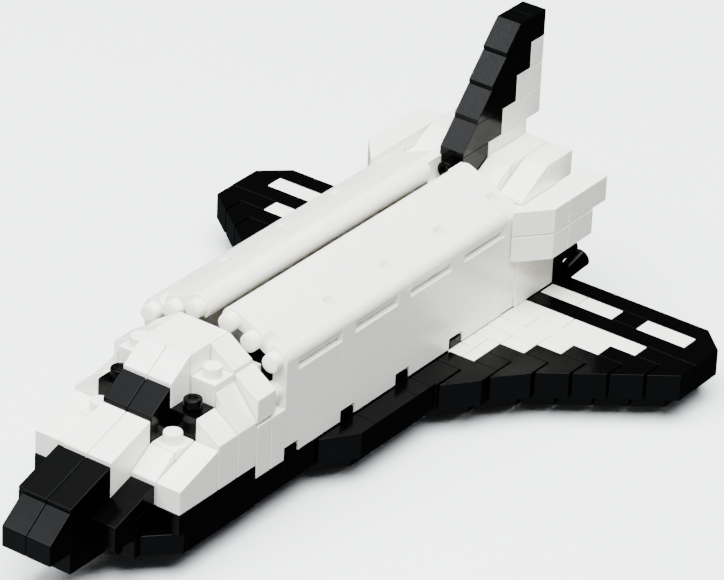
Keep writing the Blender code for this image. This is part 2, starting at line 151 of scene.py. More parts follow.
def make_piece(name, shells, material, nodes, body="orbiter", edge=0.0):
    """One mesh of closed shells, given as (points, faces), that stands for CAD nodes on a body.

    The rounding takes edge metres off each sharp edge, and the faces keep their flat shading.
    """
    points, faces, count = [], [], 0
    for shell_points, shell_faces in shells:
        points.append(shell_points)
        faces += [[index + count for index in face] for face in shell_faces]
        count += len(shell_points)
    mesh = bpy.data.meshes.new(name)
    mesh.from_pydata(np.concatenate(points).tolist(), [], faces)
    shape = bmesh.new()
    shape.from_mesh(mesh)
    bmesh.ops.recalc_face_normals(shape, faces=shape.faces)
    shape.to_mesh(mesh)
    shape.free()
    mesh.shade_smooth()
    mesh.set_sharp_from_angle(angle=SHARP)
    mesh.materials.append(material)
    piece = bpy.data.objects.new(name, mesh)
    bpy.context.scene.collection.objects.link(piece)
    if edge:
        rounding = piece.modifiers.new("rounded_edges", "BEVEL")
        rounding.width = edge
        rounding.segments = 2
        rounding.limit_method = "ANGLE"
        rounding.angle_limit = SHARP
        rounding.harden_normals = True
    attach(piece, body)
    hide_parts(*nodes)
    return piece


def linear(hex_colour):
    """The linear red, green and blue of an sRGB hex colour, with alpha 1."""
    values = np.array([int(hex_colour[i:i + 2], 16) for i in (1, 3, 5)]) / 255
    return (*np.where(values <= 0.04045, values / 12.92, ((values + 0.055) / 1.055) ** 2.4), 1)


def add_node(tree, kind, links=(), **settings):
    """Add a shader node. A setting names a property or, with _ for spaces, an input socket,
    and links holds (socket that feeds it, its input)."""
    node = tree.nodes.new(kind)
    for key, value in settings.items():
        socket = next((s for s in node.inputs if s.name.lower().replace(" ", "_") == key), None)
        if socket is not None:
            socket.default_value = value
        else:
            setattr(node, key, value)
    for source, name in links:
        tree.links.new(source, node.inputs[name])
    return node


ABS_IOR = 1.54
LIGHT_DEPTH = 0.0005     # how far light gets into pale ABS
SINK_DEPTH = 0.0002      # of a sink mark, and of a scratch below
SCRATCH_DEPTH = 0.00002
SCRATCH_WIDTH = 0.00025
WORN = 0.12              # roughness that a scratch adds


def moulded_abs(name, colour, roughness, specular, wave, scratch, see_into=0.0):
    """Injection-moulded gloss ABS. The mould's polish leaves a smooth skin that sinks a little over
    the hollows of a brick, handling leaves hair scratches, and light enters a pale colour."""
    material = bpy.data.materials.new(name)
    material.use_nodes = True
    tree = material.node_tree
    shader = tree.nodes["Principled BSDF"]
    shader.inputs["Base Color"].default_value = linear(colour)
    shader.inputs["IOR"].default_value = ABS_IOR
    shader.inputs["Specular IOR Level"].default_value = specular
    shader.inputs["Subsurface Weight"].default_value = see_into
    shader.inputs["Subsurface Radius"].default_value = (1.0, 0.75, 0.5)
    shader.inputs["Subsurface Scale"].default_value = LIGHT_DEPTH
    place = add_node(tree, "ShaderNodeTexCoord").outputs["Object"]
    # Sink marks come one to a stud. Scratches are far finer than a pixel, so they are drawn
    # 0.25 mm wide, as long streaks.
    sink = add_node(tree, "ShaderNodeTexNoise", [(place, "Vector")], scale=1 / PITCH, detail=1.0)
    along = add_node(tree, "ShaderNodeMapping", [(place, "Vector")], rotation=(0.3, 0.2, 0.7),
                     scale=(1, 0.12, 1))
    hairs = add_node(tree, "ShaderNodeTexNoise", [(along.outputs["Vector"], "Vector")],
                     scale=1 / SCRATCH_WIDTH, detail=3.0)
    gloss = add_node(tree, "ShaderNodeMapRange", [(hairs.outputs["Fac"], "Value")],
                     from_min=0.35, from_max=0.75, to_min=roughness, to_max=roughness + WORN)
    tree.links.new(gloss.outputs["Result"], shader.inputs["Roughness"])
    dents = add_node(tree, "ShaderNodeBump", [(sink.outputs["Fac"], "Height")], strength=wave,
                     distance=SINK_DEPTH)
    lines = add_node(tree, "ShaderNodeBump",
                     [(hairs.outputs["Fac"], "Height"), (dents.outputs["Normal"], "Normal")],
                     strength=scratch, distance=SCRATCH_DEPTH)
    tree.links.new(lines.outputs["Normal"], shader.inputs["Normal"])
    return material


black_abs = moulded_abs("injection_moulded_gloss_ABS_black", "#020202", roughness=0.12, specular=0.055,
                        wave=0.10, scratch=0.08)


def black_bricks(name, shells, nodes, edge=BLACK_EDGE):
    """A piece of black bricks on the fixed body."""
    make_piece(name, shells, black_abs, nodes, edge=edge)


# Each slope brick stands on a plate two studs wide: its inner side in pitches, the plate's rear
# course, and the courses where its slope starts and ends
SLOPE_BRICKS = (
    (4, 9, 11.7, 10.17),
    (5, 7, 9.7, 8.28),
    (6, 6, 8.1, 7.2),
    (7, 5, 7.1, 6.17),
    (8, 4, 6.1, 5.17),
    (9, 3, 5.1, 4.19),
)
GROOVE = 0.035           # open joint at the slope's inner side, in pitches, as the two below
SLOPE_PLAY = 0.02        # the slope's outer side stands back by this
SLOPE_TIP = 0.08         # flat at the slope's tip
# Half width in pitches of each of the raft's courses from the first on, up to its slope bricks
RAFT_HALVES = (8, 7, 6, 5, 4, 3, 4, 2, 3, 3, 3, 2, 2, 2, 2, 2, 2, 2, 2, 2)


def slope_brick(inner, rear, tip, foot):
    """Outline of a slope brick and its plate, as (pitches, courses)."""
    outer = inner + 1 - SLOPE_PLAY
    return ((inner - 1, rear), (outer, rear), (outer, foot), (inner + SLOPE_TIP, tip),
            (inner + GROOVE, tip), (inner + GROOVE, rear + 1), (inner - 1, rear + 1))


def plain_brick(inner, outer, rear, front):
    """Outline of a plain brick, as (pitches, courses)."""
    return ((inner, rear), (outer, rear), (outer, front), (inner, front))


def brick_layer(outlines, side, low, high):
    """Shells of the bricks of one layer of the wings, from their outlines, between two heights."""
    return [slab(np.array(outline) * (side * PITCH, -COURSE) + (0, TRAILING_EDGE),
                 *over_wing([low, high]), "z", HAIRLINE) for outline in outlines]


# The raft has the wing's slope bricks, one pitch further in and one course further back
raft = [slope_brick(inner - 1, rear - 1, tip - 1, foot - 1) for inner, rear, tip, foot in SLOPE_BRICKS]
raft += [plain_brick(0, half, course, course + 1)
         for course, half in enumerate(RAFT_HALVES, LOWEST_COURSE)]
raft += [plain_brick(8, 9, 1, 2), plain_brick(2, 3, 12, 15),
         ((2, 15), (3, 15), (3, 16.15), (2 + SLOPE_TIP, 17.75), (2, 17.75))]
black_bricks("lower_deck_bricks", [shell for side, _ in SIDES for shell in brick_layer(raft, side, -2, -1)],
             ["lower_deck"])


# Fuselage deck. The real piece is one more layer of the same black bricks, six studs wide, from
# the cabin to the tail. It carries the wings' roots and is the floor of the payload bay.

FUSELAGE_HALF = 2.97     # half width in pitches, as the next one
INLAY_INSIDE = 2.88      # inner side of the wing's white bricks, under the foot of the doors
INLAY_COURSES = (3, 9)   # rear and front
DECK_COURSES = 23
deck_rows = np.arange(DECK_COURSES)
beside_inlay = (deck_rows >= INLAY_COURSES[0]) & (deck_rows < INLAY_COURSES[1])
half_width = np.where(beside_inlay, INLAY_INSIDE, FUSELAGE_HALF)
fuselage_blocks = []
for inner, outer in ((0, 1), (1, half_width)):
    fuselage_blocks.append(boxes(inner * PITCH, outer * PITCH, course_y(deck_rows + 1),
                                 course_y(deck_rows), over_wing(-1), over_wing(0)))
port_half = np.concatenate(fuselage_blocks)
black_bricks("fuselage_deck_bricks", [moulded(on_side(port_half, side)) for side, _ in SIDES],
             ["fuselage_deck"])


# Wings, black part. The real pieces are long bricks along the trailing edge, and 1-stud slope
# bricks whose slanted faces form the leading edge, with plain bricks between. All are black
# injection-moulded ABS, and their rounded edges show as fine light lines.

wing = [slope_brick(*row) for row in SLOPE_BRICKS]
# Inner and outer side in pitches, rear and front course
PLAIN_BRICKS = ((3, 8, 0, 1), (6, 7, 1, 2), (3, 7, 2, 3), (7, 9, 2, 3), (4, 4.98, 8, 9),
                (3, 3.9, 12, 13), (3, 3.9, 13, 16))
wing += [plain_brick(*row) for row in PLAIN_BRICKS]
# The bricks whose outline is neither: two at the root and the one at the tip
wing += [((3, 10), (3.97, 10), (3.97, 11.7), (3.9, 11.7), (3.9, 12), (3, 12)),
         ((3, 16), (3.9, 16), (3.9, 17.05), (3 + SLOPE_TIP, 18.72), (3, 18.72)),
         ((8, 0), (9, 0), (10, 1.2), (10, 3), (9, 3), (9, 1), (8, 1))]
for side, side_name in SIDES:
    black_bricks(f"wing_{side_name}_bricks", brick_layer(wing, side, -1, 0), [f"wing_{side_name}"])


# Wings, white part. The real pieces are white bricks of the same make, let into the black ones
# flush with them: a stair of courses that narrows forwards, and two bars for the elevons.

WHITE_EDGE = 0.00013     # rounding of a white brick's edges
WHITE_AIR = 0.00013      # air between two white bricks: light in the plastic fills a finer seam
white_abs = moulded_abs("injection_moulded_gloss_ABS_white", "#f5f2e8", roughness=0.20, specular=0.80,
                        wave=0.10, scratch=0.10, see_into=0.12)


def white_bricks(name, shells, nodes, edge=WHITE_EDGE):
    """A piece of white bricks on the fixed body."""
    make_piece(name, shells, white_abs, nodes, edge=edge)


# Outer side in pitches for each course of the inlay from the rear, and where its bricks join
STAIR = ((8, 5.0), (7, 4.0), (6, 5.0), (5, 4.0), (4, 3.5), (4, 3.5))
stair_blocks = []
for step, (outer, joint) in enumerate(STAIR):
    joints = np.array([INLAY_INSIDE, joint, outer]) * PITCH
    rear = INLAY_COURSES[0] + step
    stair_blocks.append(boxes(joints[:-1], joints[1:], course_y(rear + 1), course_y(rear),
                              over_wing(-1), over_wing(0)))
stair = np.concatenate(stair_blocks)
# Name, joints of its bricks in pitches
ELEVONS = (("elevon_inner", (3, 4.5, 6)), ("elevon_outer", (7, 9)))
for side, side_name in SIDES:
    white_bricks(f"wing_inlay_{side_name}_bricks", [moulded(on_side(stair, side), WHITE_AIR)],
                 [f"wing_inlay_{side_name}"])
    for name, joints in ELEVONS:
        x = np.array(joints) * PITCH
        bar = boxes(x[:-1], x[1:], course_y(2), course_y(1), over_wing(-1), over_wing(0))
        white_bricks(f"{name}_{side_name}_bricks", [moulded(on_side(bar, side), WHITE_AIR)],
                     [f"{name}_{side_name}"])


# Nose keel and hull. The real pieces are two courses of black bricks under the nose and the
# cabin, laid with the studs up, and on each side a stud that points down under the nose.

STUD_RADIUS = 0.0013
STUD_HEIGHT = 0.0015
# A stud with a rounded rim, and one with a shallow dimple: radius and height over the stud's
FLAT_STUD = np.array([(1, -0.15), (1, 0.84), (0.96, 0.95), (0.87, 1), (0.5, 1)])
DIMPLED_STUD = np.array([(1, -0.15), (1, 0.84), (0.96, 0.95), (0.87, 1), (0.56, 1), (0.50, 0.96),
                         (0.47, 0.80), (0.30, 0.76)])
LIP = 0.15               # upright face at the foot of a slope, in layers

NOSE_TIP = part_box("nose_tip")[0][1] - CAD_EDGE
LAYER_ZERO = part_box("nose_hull")[1][2] + CAD_EDGE - COURSE


def stud_y(studs):
    """Place along the nose: its tip plus the studs times their pitch."""
    return NOSE_TIP + np.asarray(studs, float) * PITCH


def layer_z(layers):
    """Height of a layer of the nose: its lowest full course plus the layers times their height."""
    return LAYER_ZERO + np.asarray(layers, float) * COURSE


def turned(profile, base, direction, steps=28):
    """A closed round shell along an axis.

    The profile holds (radius, distance along the axis), each point of which is carried round the
    axis: middle plus radius times the cosine and sine of the angle along two cross directions.
    """
    profile = np.asarray(profile, float)
    axis = np.asarray(Vector(direction).normalized())
    across = np.asarray(Vector(direction).orthogonal().normalized())
    third = np.cross(axis, across)
    angle = np.linspace(0, 2 * math.pi, steps, endpoint=False)
    ring = np.cos(angle)[:, None] * across + np.sin(angle)[:, None] * third
    radius, height = profile[:, 0, None, None], profile[:, 1, None, None]
    points = np.asarray(base, float) + height * axis + radius * ring
    return points.reshape(-1, 3), ring_faces(len(profile), steps)


def stud(base, direction, profile):
    """A stud's shell: its profile scaled by the stud's radius and height, turned round its axis."""
    return turned(profile * (STUD_RADIUS, STUD_HEIGHT), base, direction)


# Inner and outer side and first and last stud of each brick
HULL_BRICKS = ((0, 1, 1, 2), (0, 2, 2, 4), (0, 3, 4, 6), (0, 3, 6, 8))
KEEL_BRICKS = ((0, 1, 1, 3), (0, 2, 3, 3.3), (0, 2, 3.3, 6), (0, 2, 6, 8), (2, 3, 4.4, 6), (2, 3, 6, 8))
# The keel's corner brick: its two sides, and for each of them where it starts and ends
CORNER_SIDES = (2, 3)
CORNER_STUDS = ((3.25, 4.4), (4.3, 4.4))
NOSE_STUD = (1.5, 2.5)   # the stud under the nose, across and along it
for name, bricks, layer in (("nose_hull", HULL_BRICKS, 0), ("nose_keel", KEEL_BRICKS, -1)):
    table = np.array(bricks, float)
    blocks = boxes(table[:, 0] * PITCH, table[:, 1] * PITCH, stud_y(table[:, 2]), stud_y(table[:, 3]),
                   layer_z(layer), layer_z(layer + 1))
    if name == "nose_keel":
        corner = corners_of(np.array(CORNER_SIDES)[None, :, None, None] * PITCH,
                            stud_y(CORNER_STUDS)[None, :, :, None], layer_z([-1, 0])[None, None, None, :])
        blocks = np.concatenate([blocks, corner])
    shells = [moulded(on_side(blocks, side)) for side, _ in SIDES]
    if name == "nose_hull":
        x, y = NOSE_STUD[0] * PITCH, stud_y(NOSE_STUD[1])
        shells += [stud((side * x, y, layer_z(0)), (0, 0, -1), FLAT_STUD) for side, _ in SIDES]
    black_bricks(f"{name}_bricks", shells, [name])


# Nose top and windscreen. The real pieces are slope bricks, two studs wide in pairs that meet on
# the centreline: black at the tip and for the windscreen, white between and on the cabin's roof.

# Name, whether black, first and last stud, layers of its base, its front edge and its back edge
CENTRE_SLOPES = (
    ("nose_tip", True, 0, 1, 0, 1, 2),
    ("nose_top", True, 1, 3, 1, 2 + LIP, 3),
    ("forebody", False, 3, 5, 1, 3 + LIP, 4),
    ("windscreen", True, 5, 6, 1, 4 + LIP, 5),
    ("canopy", False, 6, 7, 1, 5 + LIP, 6),
    ("cabin_roof", False, 7, 9, 1, 6, 6),
)


def slope_along(x0, x1, y0, y1, base, front, back):
    """Corners of one block whose top rises from the front height to the back height."""
    return corners_of(np.array([x0, x1])[None, :, None, None], np.array([y0, y1])[None, None, :, None],
                      np.array([[base, front], [base, back]])[None, None])


for name, is_black, first, last, base, front, back in CENTRE_SLOPES:
    heights = layer_z([base, front, back])
    joints = (-PITCH, PITCH) if name == "cabin_roof" else (-PITCH, 0, PITCH)
    blocks = np.concatenate([slope_along(low, high, stud_y(first), stud_y(last), *heights)
                             for low, high in zip(joints, joints[1:])])
    if is_black:
        black_bricks(f"{name}_bricks", [moulded(blocks)], [name])
    else:
        white_bricks(f"{name}_bricks", [moulded(blocks, WHITE_AIR)], [name])


# Cabin sides. The real pieces are single slope bricks and, between them, three plain bricks on
# each side that climb like steps and leave one stud open each, the middle one black.

# Name, whether black, inner side, first and last stud, base, front and back layer, whether studded
CABIN_SLOPES = (
    ("cheek_dark", True, 1, 2, 4, 1, 1 + LIP, 2, False),
    ("cheek_inner", False, 1, 4, 5, 1, 2 + LIP, 3, False),
    ("cheek_outer", False, 2, 4, 6, 1, 2 + LIP, 3, False),
    ("step_low", False, 1, 5, 6, 1, 3, 3, True),
    ("step_dark", True, 1, 6, 7, 1, 4, 4, True),
    ("step_high", False, 1, 7, 8, 1, 5, 5, True),
)
# Name, inner side, first and last stud, base, inner and outer layer
CABIN_SIDES = (
    ("side_fore", 2, 6, 7, 1, 4, 3 + LIP),
    ("side_mid", 2, 7, 8, 1, 4.7, 3 + LIP),
    ("side_upper", 1, 8, 9, 1, 6, 5 + LIP),
    ("side_aft", 2, 8, 9, 3, 5, 4 + LIP),
)
UNDER_CANOPY = 0.1       # the black step runs on this far under the canopy, in pitches

for side, side_name in SIDES:
    for name, is_black, inner, first, last, base, front, back, studded in CABIN_SLOPES:
        heights = layer_z([base, front, back])
        start = inner - UNDER_CANOPY if name == "step_dark" else inner
        block = slope_along(start * PITCH, (inner + 1) * PITCH, stud_y(first), stud_y(last), *heights)
        shells = [moulded(on_side(block, side), HAIRLINE if is_black else WHITE_AIR)]
        if studded:
            x, y = (inner + 0.5) * PITCH, stud_y((first + last) / 2)
            shells.append(stud((side * x, y, layer_z(back) - HAIRLINE / 2), (0, 0, 1),
                               DIMPLED_STUD if is_black else FLAT_STUD))
        make = black_bricks if is_black else white_bricks
        make(f"{name}_{side_name}_brick", shells, [f"{name}_{side_name}"])
    for name, inner, first, last, base, top_in, top_out in CABIN_SIDES:
        z = layer_z([[base, top_in], [base, top_out]])[None, :, None, :]
        block = corners_of(np.array([inner, inner + 1])[None, :, None, None] * PITCH,
                           stud_y([first, last])[None, None, :, None], z)
        white_bricks(f"{name}_{side_name}_brick", [moulded(on_side(block, side), WHITE_AIR)],
                     [f"{name}_{side_name}"])


# Payload bay ends. The real pieces are white bricks: a wall across the front of the bay, a low
# corner wall on each side of it, and behind the doors a full frame with their outline.

# These values are in pitches, unless they say courses. A barrel's middle is given by its distance
# from the centreline and its height over the wing.
BARRELS = np.array([(0.69, 4.44), (1.61, 4.06), (2.51, 3.62)])
BARREL_RADIUS = 0.44
RIDGE_RUN = BARRELS[2] - BARRELS[1]
RIDGE_NORMAL = np.array([-RIDGE_RUN[1], RIDGE_RUN[0]]) / np.linalg.norm(RIDGE_RUN)
WALL_OUTSIDE = BARRELS[-1, 0] + BARREL_RADIUS
WALL_THICKNESS = 0.56
FOOT, FOOT_NOTCH = 0.02, 0.42     # height over the wing of a door's foot and of the notch in it
DENT_SPAN = (1.98, 2.35)          # of the dent in the ridge between the outer two barrels
DENT_DEPTH = 0.4
DENT_START = 0.45                 # how far into a panel's last course the dent starts, in courses


def arc(centre, radius, start, end, steps):
    """Points on an arc: the centre plus the radius times the cosine and sine of each angle."""
    angle = np.linspace(start, end, steps)
    return np.asarray(centre) + radius * np.stack([np.cos(angle), np.sin(angle)], axis=-1)


def crown_outline(start, steps):
    """The door's outside in pitches: an arc over each barrel in turn, each up to the direction that
    stands square on the line to the next barrel, and the last to level with the wall."""
    run = np.diff(BARRELS, axis=0)
    normals = [*np.arctan2(run[:, 0], -run[:, 1]), 0.0]
    starts = [start, *normals[:-1]]
    return np.concatenate([arc(centre, BARREL_RADIUS, first, last, steps)
                           for centre, first, last in zip(BARRELS, starts, normals)])


def ridge_height(x):
    """Height of the flat ridge between the outer two barrels: the line that touches both from
    above, which is the radius over the line through their centres, measured square to it."""
    return (BARRELS[2] @ RIDGE_NORMAL + BARREL_RADIUS - RIDGE_NORMAL[0] * np.asarray(x)) / RIDGE_NORMAL[1]


def bay_place(outline):
    """An outline across the body, from pitches to metres over the wing's top."""
    return np.asarray(outline) * PITCH + (0, WING_TOP)


BAY_SLOT_HALF = 0.42              # notch in the frame's top, where the fin's stud sits
BAY_SLOT_FLOOR = 4.0
FRAME_COURSES = (4, 5)            # rear and front
FRAME_FOOT = 0.01
FRAME_EDGE = 0.00003              # rounding in metres: the frame goes on flush from the doors
STEP_WIDTH = 0.01                 # a step in an outline leans by this
crown = crown_outline(math.radians(115), 9)
crown = crown[crown[:, 0] > BAY_SLOT_HALF]
split = np.searchsorted(crown[:, 0], DENT_SPAN[0])
dent_x = np.array([DENT_SPAN[0], DENT_SPAN[1] - STEP_WIDTH, DENT_SPAN[1]])
dent_outline = np.stack([dent_x, ridge_height(dent_x) - (0, DENT_DEPTH, 0)], axis=-1)
notch_x = INLAY_INSIDE + STEP_WIDTH
slot_outline = [(BAY_SLOT_HALF, BAY_SLOT_FLOOR), (BAY_SLOT_HALF, crown[0, 1])]
notch_outline = [(WALL_OUTSIDE, FOOT_NOTCH), (notch_x, FOOT_NOTCH), (notch_x, FRAME_FOOT)]
frame_half = np.concatenate([slot_outline, crown[:split], dent_outline, crown[split:], notch_outline])
frame_outline = np.concatenate([frame_half, frame_half[::-1] * (-1, 1)])
rear_y, front_y = course_y(FRAME_COURSES)
shells = [slab(bay_place(frame_outline), front_y + HAIRLINE, rear_y, "y")]
# The dent goes through the frame's outline, and a filler closes it behind
for side, _ in SIDES:
    shells.append(slab(bay_place(dent_outline * (side, 1)), rear_y - DENT_START * COURSE, rear_y, "y"))
white_bricks("bay_rear_frame_bricks", shells, ["bay_rear_frame"], edge=FRAME_EDGE)
BULKHEAD_JOINTS = (-1.95, -1, 1, 1.95)
BULKHEAD_TOP, CORNER_TOP = 3.3, 2
CABIN_STUDS = 9                   # the cabin ends here
joints = np.array(BULKHEAD_JOINTS) * PITCH
bulkhead = boxes(joints[:-1], joints[1:], stud_y(CABIN_STUDS) + HAIRLINE,
                 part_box("bay_front_bulkhead")[1][1], over_wing(0), over_wing(BULKHEAD_TOP))
white_bricks("bay_front_bulkhead_bricks", [moulded(bulkhead, WHITE_AIR)], ["bay_front_bulkhead"])
corner = boxes(2 * PITCH, 3 * PITCH, course_y([DECK_COURSES, DECK_COURSES - 1]),
               course_y([DECK_COURSES - 1, DECK_COURSES - 2]), over_wing(0), over_wing(CORNER_TOP))
for side, side_name in SIDES:
    white_bricks(f"bay_corner_{side_name}_bricks", [moulded(on_side(corner, side), WHITE_AIR)],
                 [f"bay_corner_{side_name}"])


# Hinge rails. The real pieces are black bricks with small knuckles, one for each section of a
# door, that stand in the notches of the door's foot and show there as black squares.

PANEL_FRONTS = np.array([21, 17, 13, 9])   # courses
RAIL_WIDTH, RAIL_TOP = 0.4, 0.22           # in pitches, as the next two
KNUCKLE_START, KNUCKLE_TOP = 0.1, 0.33
RAIL_EDGE = 0.0001
for side, side_name in SIDES:
    low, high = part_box(f"hinge_rail_{side_name}")
    strip_x = np.sort(np.abs([low[0], high[0]]))
    strip = boxes(strip_x[0], strip_x[0] + RAIL_WIDTH * PITCH, low[1], high[1], low[2], over_wing(RAIL_TOP))
    knuckles = boxes(strip_x[0] + KNUCKLE_START * PITCH, strip_x[1], course_y(PANEL_FRONTS) + 2 * CAD_EDGE,
                     course_y(PANEL_FRONTS - 1) - CAD_EDGE, low[2], over_wing(KNUCKLE_TOP))
    black_bricks(f"hinge_rail_{side_name}_bricks",
                 [moulded(on_side(strip, side)), moulded(on_side(knuckles, side))],
                 [f"hinge_rail_{side_name}"], edge=RAIL_EDGE)


# Payload bay doors. Each real door is a row of four white panels, moulded as three barrels side by
# side over a flat wall, with pegs at the front, a long slot under the outer barrel, and a dent
# where two panels meet. It turns on the knuckles at its foot.

PANEL_LENGTH = 4                  # courses
DOOR_REAR = FRAME_COURSES[1]
SLOT_LEDGE, SLOT_DEEPEST = 3.15, 3.221   # heights over the wing, where the slot ends and is deepest
SLOT_COURSES = (0.1, 3.15)        # from and to, ahead of each panel's rear
ROUNDING = 0.03                   # of the foot and, along the body, the front end
END_SHARE = 0.6                   # how deep the front end's rounding goes, as a share of that
SEAM_DEPTH = 0.012                # of the line between two panels
NEAR_STEP = np.array([-0.011, -0.005, 0.005, 0.011])   # stations round each step, in courses
CROWN_START = math.radians(230)   # where the inner barrel's outline starts, from straight outwards
CROWN_STEPS = 13
# Across the ridge: close together where the dent ends
RIDGE_X = np.array([1.85, 1.98, 2.1, 2.22, 2.3, 2.342, 2.358, 2.42, 2.55])
# Down the wall: points round the slot's ledge, and the lowest one on the flat, over the notch
LEDGE_POINTS = np.array([0.004, -0.004, -0.03])
WALL_FOOT = FOOT_NOTCH + 0.1
LEAN = 0.3                        # how far the inside stands inwards of a barrel, of its depth
WALL_PEG = (2.5, 2.5)             # the fourth peg: across, and over the wing


def step_up(value, edge, soft=0.02):
    """A smooth step from 0 to 1 around an edge: the ramp t squared times three less two t."""
    t = np.clip((value - edge) / soft + 0.5, 0, 1)
    return t * t * (3 - 2 * t)


def between(value, low, high):
    """1 between two edges and 0 outside them, with steep smooth steps."""
    return step_up(value, low) * (1 - step_up(value, high))


def door_outline():
    """The door's closed outline in pitches, the way in from each point, and what it is part of.

    It runs over the barrels, along the flat ridge between the outer two, down the wall and back up
    inside. The way in is square to the line from the point before to the point after.
    """
    ridge = np.stack([RIDGE_X, ridge_height(RIDGE_X)], axis=-1)
    crown = crown_outline(CROWN_START, CROWN_STEPS)
    turn = np.linspace(0.1, math.radians(65), 9)
    wall_z = np.concatenate([BARRELS[2, 1] - BARREL_RADIUS * np.sin(turn), SLOT_LEDGE + LEDGE_POINTS,
                             np.linspace(3.0, WALL_FOOT, 7), [FOOT + ROUNDING, FOOT]])
    inner_x = WALL_OUTSIDE - WALL_THICKNESS
    depth = WALL_THICKNESS - BARREL_RADIUS
    inside = np.concatenate([[(inner_x, FOOT), (inner_x, WALL_FOOT), (inner_x, BARRELS[2, 1] - depth)],
                             BARRELS[1::-1] - (depth * LEAN, depth)])
    wall = np.stack([np.full_like(wall_z, WALL_OUTSIDE), wall_z], axis=-1)
    wall[-1, 0] -= ROUNDING
    split = len(crown) - CROWN_STEPS
    parts = (crown[:split], ridge, crown[split:], wall, inside)
    outline = np.concatenate(parts)
    kind = np.repeat(["crown", "ridge", "crown", "wall", "inside"], [len(part) for part in parts])
    tangent = np.roll(outline, -1, axis=0) - np.roll(outline, 1, axis=0)
    inward = np.stack([tangent[:, 1], -tangent[:, 0]], axis=-1)
    inward /= np.linalg.norm(inward, axis=1, keepdims=True)
    inward[kind == "wall"] = (-1, 0)
    inward[kind == "ridge"] = -RIDGE_NORMAL
    return outline, inward, kind


def door_shell():
    """One door as a closed shell over a grid of outline points and stations along the body.

    A point sinks towards the inside by the slot, which follows the outer barrel round as its radius
    less the root of radius squared less drop squared, by the dent, which deepens by a power of 1.5
    outwards, at the rounded front end, and where two panels meet. The foot rises over each hinge
    knuckle.
    """
    outline, inward, kind = door_outline()
    x, z = outline[None, :, 0], outline[None, :, 1]
    front = PANEL_FRONTS[0]
    rears = PANEL_FRONTS[:, None] - PANEL_LENGTH
    last_course = PANEL_LENGTH - 1
    dent_start = last_course + DENT_START
    marks = rears + np.array([0, last_course, *SLOT_COURSES, dent_start, PANEL_LENGTH])
    half_courses = np.arange(2 * DOOR_REAR, 2 * front + 1) / 2
    ends = [front - STEP_WIDTH, front - ROUNDING]
    stations = np.concatenate([half_courses, ends, (marks[:, :, None] + NEAR_STEP).ravel()])
    stations = np.unique(np.round(np.clip(stations, DOOR_REAR, front), 4))[:, None]
    # How far a point lies ahead of its panel's rear, in courses
    in_panel = (stations - DOOR_REAR) % PANEL_LENGTH + 0 * x
    in_panel[stations[:, 0] == front] = PANEL_LENGTH
    drop = np.clip(BARRELS[2, 1] - z, 0, BARRELS[2, 1] - SLOT_DEEPEST)
    slot = BARREL_RADIUS - np.sqrt(BARREL_RADIUS ** 2 - drop ** 2)
    slot = slot * step_up(z, SLOT_LEDGE, soft=0.006) * between(in_panel, *SLOT_COURSES) * (kind == "wall")
    into_dent = np.clip((x - DENT_SPAN[0]) / (DENT_SPAN[1] - DENT_SPAN[0]), 0, 1)
    dent = into_dent ** 1.5 * (x < DENT_SPAN[1]) * DENT_DEPTH
    dent = dent * step_up(in_panel, dent_start) * (kind == "ridge")
    short = np.clip(ROUNDING - front + stations, 0, ROUNDING)
    rounded = ROUNDING - np.sqrt(np.clip(ROUNDING ** 2 - short ** 2, 0, None))
    in_seam = 1 - between(in_panel, STEP_WIDTH, PANEL_LENGTH - STEP_WIDTH)
    seam = SEAM_DEPTH * in_seam * (kind != "inside")
    sink = slot + dent + rounded * END_SHARE + seam
    ring = outline[None] + inward[None] * sink[:, :, None]
    ring[:, :, 1] += step_up(in_panel, last_course) * (z < FOOT_NOTCH) * (FOOT_NOTCH - FOOT)
    points = np.empty(ring.shape[:2] + (3,))
    points[:, :, 0] = ring[:, :, 0] * PITCH
    points[:, :, 1] = course_y(stations)
    points[:, :, 2] = over_wing(ring[:, :, 1])
    return points.reshape(-1, 3), ring_faces(*ring.shape[:2])


# A peg is a plain stud with a rounded end and no dimple
PEG_PROFILE = np.array([(0.5, 1.0), (0.84, 0.985), (0.95, 0.93), (1.0, 0.8), (1.0, -0.4), (0.9, -0.42)])
door_points, door_faces = door_shell()
for side, side_name in SIDES:
    pegs = [turned(PEG_PROFILE * (STUD_RADIUS, STUD_HEIGHT),
                   (side * x * PITCH, course_y(PANEL_FRONTS[0]), over_wing(z)), (0, -1, 0), steps=36)
            for x, z in (*BARRELS, WALL_PEG)]
    make_piece(f"payload_door_{side_name}_panels", [(door_points * (side, 1, 1), door_faces), *pegs],
               white_abs, [f"payload_door_{side_name}"], body=f"{side_name}_door")


# Tail body. The real pieces are white bricks behind the bay: a block six studs wide, two humps
# on each side of the fin for the manoeuvring engines, and an outer shoulder that flares forward.

BODY_TOP = 3.5                    # over the wing in pitches, as the next one
HUMP_TOP = 4.5
BODY_JOINTS = (-3, -1, 1, 3)
# Rear and front course of a row of bricks, and its bottom and top over the wing
BODY_ROWS = ((1, 4, 0, 2), (0, 4, 2, BODY_TOP))
body_blocks = []
joints = np.array(BODY_JOINTS) * PITCH
for rear, front, bottom, top in BODY_ROWS:
    body_blocks.append(boxes(joints[:-1], joints[1:], course_y(front), course_y(rear),
                             over_wing(bottom), over_wing(top)))
white_bricks("aft_body_bricks", [moulded(np.concatenate(body_blocks), WHITE_AIR)], ["aft_body"])
# Name, inner and outer side, and the course where its slope starts
HUMPS = (("pod_inner", 0.5, 1.5, 4), ("pod_outer", 1.5, 2.5, 3))
SLOPE_COURSES = 2
# Bottom, top and rear course of the shoulder's two levels
SHOULDER_LEVELS = ((2, 3, 0), (3, 4, -1))
